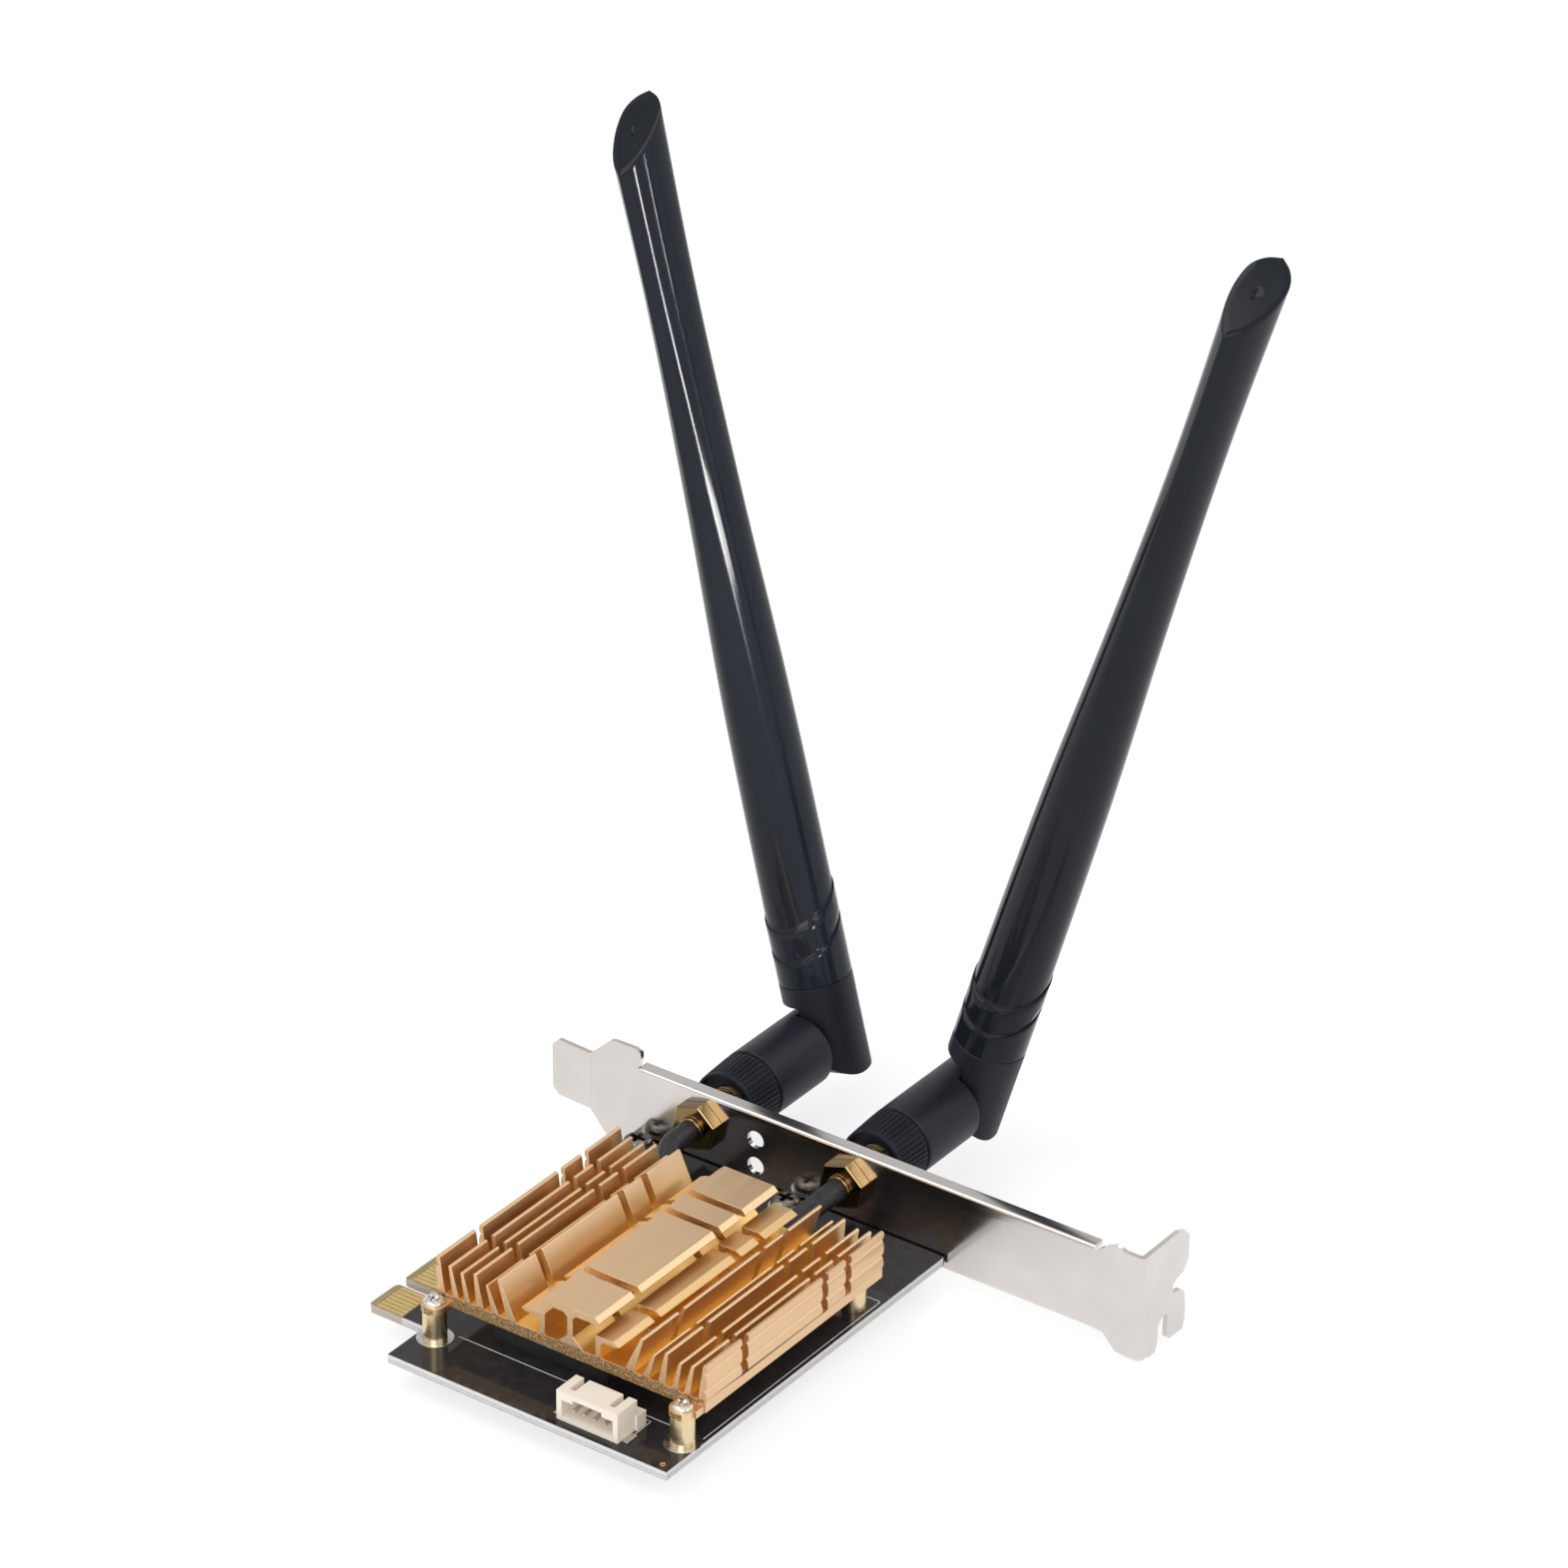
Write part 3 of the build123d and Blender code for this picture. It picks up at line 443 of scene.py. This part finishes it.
def dress(node, width=0.1, corner=30, crease=None):
    """Stands a copy of a CAD node in its place, with softened edges and its finish."""
    mesh = welded_copy(node)
    smooth(mesh, crease or corner)
    piece = add_piece("dressed_" + node, mesh, frame["nodes"][node]["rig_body"], slot_of(node))
    soften(piece, width, corner)
    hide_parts(node)
    return piece


def slot_of(node):
    return NODE_SLOTS[node]


def loop_mesh(name, rings, transform, closed=False, caps=True):
    """A skin over rings of points; closed joins the last ring to the first."""
    sheet = bmesh.new()
    rows = [[sheet.verts.new(transform @ (Vector(point) * MM)) for point in ring] for ring in rings]
    count = len(rows[0])
    pairs = list(zip(rows, rows[1:])) + ([(rows[-1], rows[0])] if closed else [])
    for low, high in pairs:
        for k in range(count):
            n = (k + 1) % count
            sheet.faces.new((low[k], low[n], high[n], high[k]))
    if caps and not closed:
        sheet.faces.new(list(reversed(rows[0])))
        sheet.faces.new(rows[-1])
    bmesh.ops.recalc_face_normals(sheet, faces=sheet.faces[:])
    mesh = bpy.data.meshes.new(name + "_mesh")
    sheet.to_mesh(mesh)
    sheet.free()
    return mesh


def ease(value, low, high):
    share = min(1.0, max(0.0, (value - low) / (high - low)))
    return share * share * (3 - 2 * share)


def hermite(points, x):
    """A smooth curve through points of equal reach, read at x."""
    last = len(points) - 1
    k = max(0, min(last - 1, sum(1 for point in points[1:-1] if point[0] <= x)))
    (x0, y0), (x1, y1) = points[k], points[k + 1]
    before, after = points[max(0, k - 1)], points[min(last, k + 2)]
    span = x1 - x0
    m0 = (y1 - before[1]) / (x1 - before[0]) * span
    m1 = (after[1] - y0) / (after[0] - x0) * span
    t = (x - x0) / span
    a = (1 + 2 * t) * (1 - t) ** 2 * y0 + t * (1 - t) ** 2 * m0
    return a + t * t * (3 - 2 * t) * y1 + t * t * (t - 1) * m1


def blade_slope(height):
    """How far each ring of the blade leans: level at the seam, slanted at the grooves and the tip."""
    if height < 40:
        return GROOVE_SLOPE * ease(height, BLADE_SEAM + 0.6, 17.4) * (1 - ease(height, 28, 52))
    return GROOVE_SLOPE * (1 - ease(height, 28, 52)) + TIP_SLOPE * ease(height, 112, TIP_MIDDLE)


def blade_outline(height, turn):
    """Half depth and half width of the blade at that height and turn about its axis."""
    columns = [[(row[0], row[k]) for row in BLADE_ROWS] for k in (1, 2, 3)]
    depth, width, keel = (hermite(column, height) for column in columns)
    keel = min(1.0, max(0.0, keel))
    y = -cos(turn)
    reach = abs(sin(turn)) * (1 - keel) + max(0.0, hermite(KEEL, y)) * keel
    from_ridge = (1 + y) * depth
    ridge = sqrt(2 * RIDGE_ROUND * from_ridge * exp(-from_ridge / RIDGE_FADE)) * keel
    side = 1 if sin(turn) >= 0 else -1
    return side * hypot(reach * width, ridge), y * depth


def blade_ring(height, inset, sleeve):
    ring = []
    for k in range(AROUND):
        turn = 2 * pi * k / AROUND
        if sleeve:
            x, y = BLADE_R * sin(turn), -BLADE_R * cos(turn)
        else:
            x, y = blade_outline(height, turn)
            x, y = blade_outline(height + blade_slope(height) * y, turn)
        reach = max(hypot(x, y), 0.001)
        x, y = x * (1 - inset / reach), y * (1 - inset / reach)
        ring.append((x, y, height + blade_slope(height) * y))
    return ring


def blade_rows():
    """Heights, insets and whether the ring is on the thicker sleeve, from the seam to the tip."""
    rows = [(BLADE_SEAM, 0.25, True), (BLADE_SEAM + 0.07, 0.1, True), (BLADE_SEAM + 0.2, 0.0, True)]
    rows += [(height, 0.0, True) for height in (12.5, 14.5, 16.5, 18.0)]
    soft = 0.1
    for k, middle in enumerate(GROOVES):
        low, high = middle - GROOVE_HALF, middle + GROOVE_HALF
        after = k == 0
        rows += [(low - soft, 0.0, True), (low - 0.03, 0.04, True), (low, GROOVE_DEPTH * 0.8, True),
                 (low + soft, GROOVE_DEPTH, True), (high - soft, GROOVE_DEPTH, True)]
        if after:
            rows += [(high, GROOVE_DEPTH * 0.8, True), (high + 0.03, 0.04, True), (high + soft, 0.0, True)]
            rows += [(height, 0.0, True) for height in (21.5, 23.0)]
        else:
            rows += [(high, 0.2, False), (high + 0.04, 0.05, False), (high + soft, 0.0, False)]
    start, count = GROOVES[1] + GROOVE_HALF + 1.0, 84
    rows += [(start + (TIP_MIDDLE - 1.0 - start) * k / count, 0.0, False) for k in range(count + 1)]
    rows += [(TIP_MIDDLE - 0.3, 0.0, False), (TIP_MIDDLE - 0.08, 0.04, False)]
    rows += [(TIP_MIDDLE, TIP_EDGE, False)]
    return rows


def tip_cap():
    """The slanted tip face, drawn in to a small pit at its middle."""
    rim = blade_ring(TIP_MIDDLE, TIP_EDGE, False)
    rings = []
    for share in (0.8, 0.55, 0.3):
        rings.append([(x * share, y * share, TIP_MIDDLE + TIP_SLOPE * y * share) for x, y, _ in rim])
    for reach, sink in ((1.15, 0.0), (1.0, 0.06), (0.75, 0.5), (0.2, 0.55)):
        turns = [2 * pi * k / AROUND for k in range(AROUND)]
        pit = [(TIP_DOT * reach * sin(t), -TIP_DOT * reach * cos(t)) for t in turns]
        rings.append([(x, y, TIP_MIDDLE + TIP_SLOPE * y - sink) for x, y in pit])
    return rings


def antenna_place(side):
    joint = JOINTS[side + "_elbow"]
    lean = atan2(joint["axis"][2], -joint["axis"][0])
    opened = radians(joint["range_deg"][0])
    place = Matrix.Translation(joint["pos_m"]) @ Matrix.Rotation(lean, 4, "Y")
    return place @ Matrix.Rotation(opened, 4, "X")


def make_blade(side):
    rings = [blade_ring(*row) for row in blade_rows()] + tip_cap()
    mesh = loop_mesh("blade_" + side, rings, antenna_place(side))
    smooth(mesh, 34)
    piece = add_piece("glossy_blade_" + side, mesh, "blade_" + side, "blade_black")
    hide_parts("antenna_blade_" + side)


def nut_profile():
    """Closed section of the coupling nut: distance along its axis, radius, share of the knurl."""
    rear = NUT_LENGTH
    near, far = NUT_RIMS
    outer = [(0.0, near - 0.2, 0), (0.06, near - 0.06, 0), (0.2, near - 0.01, 0), (0.5, near, 0)]
    outer += [(0.62, near - 0.1, 0), (0.85, near - 0.1, 0)]
    knurled = (1.0, 2.2, 3.6, 5.0, 6.2, rear - 0.7)
    outer += [(along, near + (far - near) * along / rear, 1) for along in knurled]
    outer += [(rear - 0.55, far - 0.06, 0.6), (rear - 0.42, far - 0.34, 0), (rear - 0.2, far - 0.36, 0),
              (rear, far - 0.4, 0)]
    back_bore, back_depth = NUT_BACK_BORE
    recess, recess_depth = NUT_RECESS
    inner = [(rear, back_bore, 0), (back_depth, back_bore, 0), (back_depth, NUT_BORE, 0),
             (recess_depth, NUT_BORE, 0), (recess_depth, recess, 0), (0.12, recess, 0),
             (0.0, recess + 0.1, 0)]
    return outer + inner


def make_nut(side):
    """Knurled ring: straight raised bars between a plain front rim and the seam at its back."""
    low, high = (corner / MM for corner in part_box("coupling_nut_" + side))
    centre = (low + high) / 2
    count = KNURLS * KNURL_STEPS
    rings = []
    for along, radius, share in nut_profile():
        ring = []
        for k in range(count):
            wave = cos(2 * pi * (k % KNURL_STEPS) / KNURL_STEPS)
            reach = radius - share * KNURL_DEPTH * ease(-wave, -0.35, 0.65)
            turn = 2 * pi * k / count
            ring.append((centre.x + reach * cos(turn), low.y + along, centre.z + reach * sin(turn)))
        rings.append(ring)
    mesh = loop_mesh("nut_" + side, rings, Matrix.Identity(4), closed=True)
    smooth(mesh, 38)
    piece = add_piece("knurled_nut_" + side, mesh, "nut_" + side, "satin_black")
    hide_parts("coupling_nut_" + side)


def make_jack(side):
    """Gold socket: the dressed hexagon with its barrel turned down to the root of a real thread."""
    node = "socket_body_" + side
    low, high = (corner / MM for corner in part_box(node))
    x, z = (low.x + high.x) / 2, (low.z + high.z) / 2
    start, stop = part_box("lock_washer_" + side)[0].y / MM, high.y
    piece = dress(node, 0.12)
    for vertex in piece.data.vertices:
        place = vertex.co / MM
        reach = hypot(place.x - x, place.z - z)
        if place.y > start - 0.01 and THREAD_ROOT < reach < THREAD_CREST + 0.05:
            share = THREAD_ROOT / reach
            vertex.co = Vector((x + (place.x - x) * share, place.y, z + (place.z - z) * share)) * MM
    steps = 28
    turns = int((stop - start) / THREAD_PITCH) - 1
    ring_points = ((-0.33, THREAD_ROOT - 0.05), (-0.06, THREAD_CREST), (0.06, THREAD_CREST),
                   (0.33, THREAD_ROOT - 0.05))
    rings = []
    for k in range(turns * steps + 1):
        turn = 2 * pi * k / steps
        along = start + 0.5 * THREAD_PITCH + THREAD_PITCH * k / steps
        rings.append([(x + r * cos(turn), along + dy, z + r * sin(turn)) for dy, r in ring_points])
    mesh = loop_mesh("thread_" + side, rings, Matrix.Identity(4))
    smooth(mesh, 40)
    add_piece("socket_thread_" + side, mesh, "card", "jack_gold")


def make_sleeve(side):
    """Shrink sleeve: the CAD tube with its walls gently crumpled."""
    node = "cable_sleeve_" + side
    mesh = welded_copy(node)
    sheet = bmesh.new()
    sheet.from_mesh(mesh)
    long_edges = [edge for edge in sheet.edges if edge.calc_length() > 0.5 * MM]
    bmesh.ops.subdivide_edges(sheet, edges=long_edges, cuts=3, use_grid_fill=True)
    bmesh.ops.triangulate(sheet, faces=sheet.faces[:])
    sheet.normal_update()
    for vertex in sheet.verts:
        spot = vertex.co / MM
        ripple = noise.noise(Vector((spot.x * 0.5, spot.y * 1.1, spot.z * 0.5)))
        vertex.co += vertex.normal * (0.09 * ripple * MM)
    sheet.to_mesh(mesh)
    sheet.free()
    smooth(mesh, 50)
    piece = add_piece("shrink_" + node, mesh, "card", "sleeve_black")
    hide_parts(node)


def bar(sheet, low, high):
    """Adds one closed box between two corners, in millimetres."""
    size = Vector(high) - Vector(low)
    middle = (Vector(high) + Vector(low)) / 2
    matrix = Matrix.Translation(middle * MM) @ Matrix.Diagonal((*(size * MM), 1))
    bmesh.ops.create_cube(sheet, size=1.0, matrix=matrix)


def make_print():
    """White printed lines round the heat sink and the header."""
    sheet = bmesh.new()
    half, top = PRINT_WIDTH / 2, BOARD_TOP.z
    for (x0, y0), (x1, y1) in PRINT_LINES:
        low = (min(x0, x1) - half, min(y0, y1) - half, top - PRINT_THICK)
        bar(sheet, low, (max(x0, x1) + half, max(y0, y1) + half, top + PRINT_THICK))
    mesh = bpy.data.meshes.new("print_lines_mesh")
    sheet.to_mesh(mesh)
    sheet.free()
    add_piece("print_lines", mesh, "card", None, PRINT)


def make_via():
    """A plated hole near the board's front corner."""
    x, y = VIA_PLACE
    top = BOARD_TOP.z
    rim, bore = VIA_R
    section = ((rim, -0.02), (rim - 0.04, 0.03), (bore + 0.05, 0.035), (bore, 0.0), (bore, -0.3), (rim, -0.3))
    turns = [2 * pi * k / 32 for k in range(32)]
    rings = [[(x + r * cos(t), y + r * sin(t), top + dz) for t in turns] for r, dz in section]
    mesh = loop_mesh("via", rings, Matrix.Identity(4), closed=True)
    smooth(mesh, 40)
    add_piece("plated_via", mesh, "card", "contact_gold")


def screw_cutter(x, y, top, size, depth):
    """A tapered cross for the driver."""
    arm, half = size, 0.28 * size
    corner = [(arm, -half), (arm, half), (half, half)]
    outline = []
    for quarter in range(4):
        turn = Matrix.Rotation(quarter * pi / 2, 2)
        outline += [turn @ Vector(point) for point in corner]
    rings = []
    for level, share in ((-depth, 0.62), (0.1, 1.0)):
        rings.append([(x + point.x * share, y + point.y * share, top + level) for point in outline])
    cutter = bpy.data.objects.new("cutter", loop_mesh("cutter", rings, Matrix.Identity(4)))
    bpy.context.scene.collection.objects.link(cutter)
    return cutter


def make_screws(node, name, head, height, shank, finish=None):
    """Pan-head screws with a cross recess, one for each solid of the node."""
    low, high = (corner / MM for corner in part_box(node))
    top = high.z
    ends = screw_places(node)
    pieces = []
    for number, (x, y) in enumerate(ends):
        turns = [2 * pi * k / 48 for k in range(48)]
        seat, rim, bulge = top - height, top - 0.62 * height, 0.62 * height
        section = [(shank, low.z), (shank, seat), (head - 0.05, seat), (head, seat + 0.06), (head, rim)]
        bow = [radians(a) for a in (18, 36, 54, 70, 82)]
        crown = head * 0.42
        section += [(head - crown + crown * cos(a), rim + bulge * sin(a)) for a in bow]
        section += [(head * 0.3, top)]
        rings = [[(x + r * cos(t), y + r * sin(t), z) for t in turns] for r, z in section]
        mesh = loop_mesh(name, rings, Matrix.Identity(4))
        smooth(mesh, 40)
        piece = add_piece(f"{name}_{number}", mesh, "card", "screw_bright", finish)
        cutter = screw_cutter(x, y, top, head * 0.6, height * 0.7)
        cut = piece.modifiers.new("recess", "BOOLEAN")
        cut.object = cutter
        cut.solver = "EXACT"
        harden(piece)
        bpy.data.objects.remove(cutter)
        smooth(piece.data, 40)
        pieces.append(piece)
    for piece in pieces:
        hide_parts(node)


def screw_places(node):
    """The middles of a node's separate solids, seen from above, in millimetres."""
    points = [vertex.co / MM for vertex in frame["nodes"][node].data.vertices]
    middle = sum((point.x for point in points), 0.0) / len(points)
    places = []
    for keep in ([p for p in points if p.x < middle], [p for p in points if p.x >= middle]):
        xs, ys = [p.x for p in keep], [p.y for p in keep]
        places.append(((min(xs) + max(xs)) / 2, (min(ys) + max(ys)) / 2))
    return places


def make_contacts():
    """Plated fingers, standing a little proud of the laminate on both faces."""
    piece = dress("edge_contacts", 0.02)
    middle = (BOARD_LOW.z + BOARD_TOP.z) / 2
    for vertex in piece.data.vertices:
        vertex.co.z += CONTACT_PROUD * MM if vertex.co.z > middle * MM else -CONTACT_PROUD * MM


def aim(place, target):
    return (Vector(target) - Vector(place)).to_track_quat("-Z", "Y")


def softbox(name, place, target, size, power):
    """A rectangular lamp, in metres and watts."""
    lamp = bpy.data.lights.new(name, "AREA")
    lamp.shape = "RECTANGLE"
    lamp.size, lamp.size_y = size
    lamp.energy = power
    light = bpy.data.objects.new(name, lamp)
    light.location = place
    light.rotation_mode = "QUATERNION"
    light.rotation_quaternion = aim(place, target)
    light.visible_camera = False
    bpy.context.scene.collection.objects.link(light)
    return light


def streak(name, piece_name, place, target, size, power):
    """A narrow lamp that only draws a highlight along one glossy piece."""
    light = softbox(name, place, target, size, power)
    light.data.shape = "ELLIPSE"
    reach = bpy.data.collections.new(name + "_reach")
    reach.objects.link(bpy.data.objects[piece_name])
    light.light_linking.receiver_collection = reach
    light.light_linking.blocker_collection = reach


def seen_rays(tree):
    """1 for camera, glossy and transmission rays."""
    path = tree.nodes.new("ShaderNodeLightPath")
    total = path.outputs["Is Camera Ray"]
    for name in ("Is Glossy Ray", "Is Transmission Ray"):
        both = tree.nodes.new("ShaderNodeMath")
        both.operation = "MAXIMUM"
        tree.links.new(total, both.inputs[0])
        tree.links.new(path.outputs[name], both.inputs[1])
        total = both.outputs[0]
    return total


def make_world():
    """White at the horizon, a greyer ceiling in reflections, even light for the object."""
    world = bpy.data.worlds.new("studio")
    bpy.context.scene.world = world
    world.use_nodes = True
    tree = world.node_tree
    tree.nodes.clear()
    place = tree.nodes.new("ShaderNodeTexCoord")
    split = tree.nodes.new("ShaderNodeSeparateXYZ")
    tree.links.new(place.outputs["Generated"], split.inputs[0])
    ramp = tree.nodes.new("ShaderNodeValToRGB")
    stops = ((0.0, 1.0), (0.14, 1.0), (0.34, 0.74), (0.6, 0.68), (0.8, 0.8), (1.0, 1.0))
    points = ramp.color_ramp.elements
    while len(points) < len(stops):
        points.new(1.0)
    for point, (height, grey) in zip(points, stops):
        point.position = height
        point.color = (grey, grey, grey, 1)
    tree.links.new(split.outputs["Z"], ramp.inputs[0])
    shown = tree.nodes.new("ShaderNodeBackground")
    tree.links.new(ramp.outputs[0], shown.inputs["Color"])
    lighting = tree.nodes.new("ShaderNodeBackground")
    lighting.inputs["Color"].default_value = (1, 1, 1, 1)
    lighting.inputs["Strength"].default_value = 0.55
    mix = tree.nodes.new("ShaderNodeMixShader")
    tree.links.new(seen_rays(tree), mix.inputs[0])
    tree.links.new(lighting.outputs[0], mix.inputs[1])
    tree.links.new(shown.outputs[0], mix.inputs[2])
    output = tree.nodes.new("ShaderNodeOutputWorld")
    tree.links.new(mix.outputs[0], output.inputs["Surface"])


def make_floor():
    """A pale floor just under the card, white from above with a faint shadow, clear from below."""
    bpy.ops.mesh.primitive_plane_add(size=8.0, location=(0, 0, cad_box[0].z))
    floor = bpy.context.object
    floor.name = "floor"
    material = bpy.data.materials.new("floor_paper")
    material.use_nodes = True
    tree = material.node_tree
    tree.nodes.clear()
    plain = tree.nodes.new("ShaderNodeBsdfDiffuse")
    plain.inputs["Color"].default_value = (0.8, 0.8, 0.8, 1)
    paper = tree.nodes.new("ShaderNodeBsdfDiffuse")
    paper.inputs["Color"].default_value = (0.34, 0.34, 0.34, 1)
    glow = tree.nodes.new("ShaderNodeEmission")
    glow.inputs["Strength"].default_value = 0.74
    both = tree.nodes.new("ShaderNodeAddShader")
    tree.links.new(paper.outputs[0], both.inputs[0])
    tree.links.new(glow.outputs[0], both.inputs[1])
    mix = tree.nodes.new("ShaderNodeMixShader")
    tree.links.new(seen_rays(tree), mix.inputs[0])
    tree.links.new(plain.outputs[0], mix.inputs[1])
    tree.links.new(both.outputs[0], mix.inputs[2])
    under = tree.nodes.new("ShaderNodeNewGeometry")
    clear = tree.nodes.new("ShaderNodeBsdfTransparent")
    one_sided = tree.nodes.new("ShaderNodeMixShader")
    tree.links.new(under.outputs["Backfacing"], one_sided.inputs[0])
    tree.links.new(mix.outputs[0], one_sided.inputs[1])
    tree.links.new(clear.outputs[0], one_sided.inputs[2])
    output = tree.nodes.new("ShaderNodeOutputMaterial")
    tree.links.new(one_sided.outputs[0], output.inputs["Surface"])
    floor.data.materials.append(material)


def make_camera():
    a, e, r = (radians(angle) for angle in (AZIMUTH, ELEVATION, ROLL))
    back = Vector((sin(a) * cos(e), -cos(a) * cos(e), sin(e)))
    right = Vector((cos(a), sin(a), 0))
    up = back.cross(right)
    rolled_right = cos(r) * right + sin(r) * up
    rolled_up = cos(r) * up - sin(r) * right
    data = bpy.data.cameras.new("camera")
    data.lens, data.sensor_width = FOCAL_MM, SENSOR_MM
    data.clip_start, data.clip_end = 0.01, 50
    camera = bpy.data.objects.new("camera", data)
    turn = Matrix((rolled_right, rolled_up, back)).transposed().to_4x4()
    camera.matrix_world = Matrix.Translation(Vector(CAMERA_PLACE) * MM) @ turn
    bpy.context.scene.collection.objects.link(camera)
    bpy.context.scene.camera = camera


make_camera()
make_world()
make_floor()
softbox("key", (-0.55, -0.55, 1.3), (0, 0, 0.02), (0.9, 0.9), 6.0)
softbox("fill", (1.1, -0.1, 0.8), (0, 0, 0.05), (0.8, 0.8), 2.0)
softbox("front", (0.45, -1.15, 0.55), (0, 0, 0.03), (0.9, 0.7), 8.0)
softbox("rim", (0.50, 1.05, 0.85), (0, 0, 0.02), (0.9, 0.7), 2.6)

for node_name in frame["nodes"]:
    cad_node = frame["nodes"][node_name]
    cad_node.data.materials.clear()
    cad_node.data.materials.append(FINISHES[slot_of(node_name)])

dress("circuit_board", 0.05)
dress("bracket", 0.14)
dress("heat_sink", 0.16, corner=42, crease=16)
make_contacts()
dress("header_housing", 0.11)
dress("header_solder_tabs", 0.08)
dress("standoffs", 0.08)
dress("standoff_rings", 0.03)
dress("bracket_pads", 0.03)
make_screws("heat_sink_screws", "sink_screw", head=1.79, height=0.75, shank=1.0)
make_screws("bracket_screws", "bracket_screw", head=2.6, height=1.7, shank=1.25, finish=DARK_SCREW)
make_print()
make_via()
for side_name in SIDES:
    make_jack(side_name)
    make_sleeve(side_name)
    dress("lock_washer_" + side_name, 0.06)
    dress("lock_nut_" + side_name, 0.15)
    make_nut(side_name)
    dress("antenna_barrel_" + side_name, 0.16)
    dress("antenna_knuckle_" + side_name, 0.2)
    dress("pivot_pin_" + side_name, 0.1)
    make_blade(side_name)

streak("ridge_streak", "glossy_blade_left", (0.838, -0.438, 0.088), (-0.042, 0.032, 0.12),
       (0.085, 0.064), 1.0)
streak("tip_streak", "glossy_blade_left", (1.94, 0.15, 0.07), (-0.05, 0.034, 0.145),
       (0.13, 0.06), 2.0)
streak("belly_streak", "glossy_blade_left", (0.099, -0.028, 0.090), (-0.036, 0.032, 0.093),
       (0.055, 0.016), 0.12)

bpy.context.scene.view_settings.view_transform = "Standard"
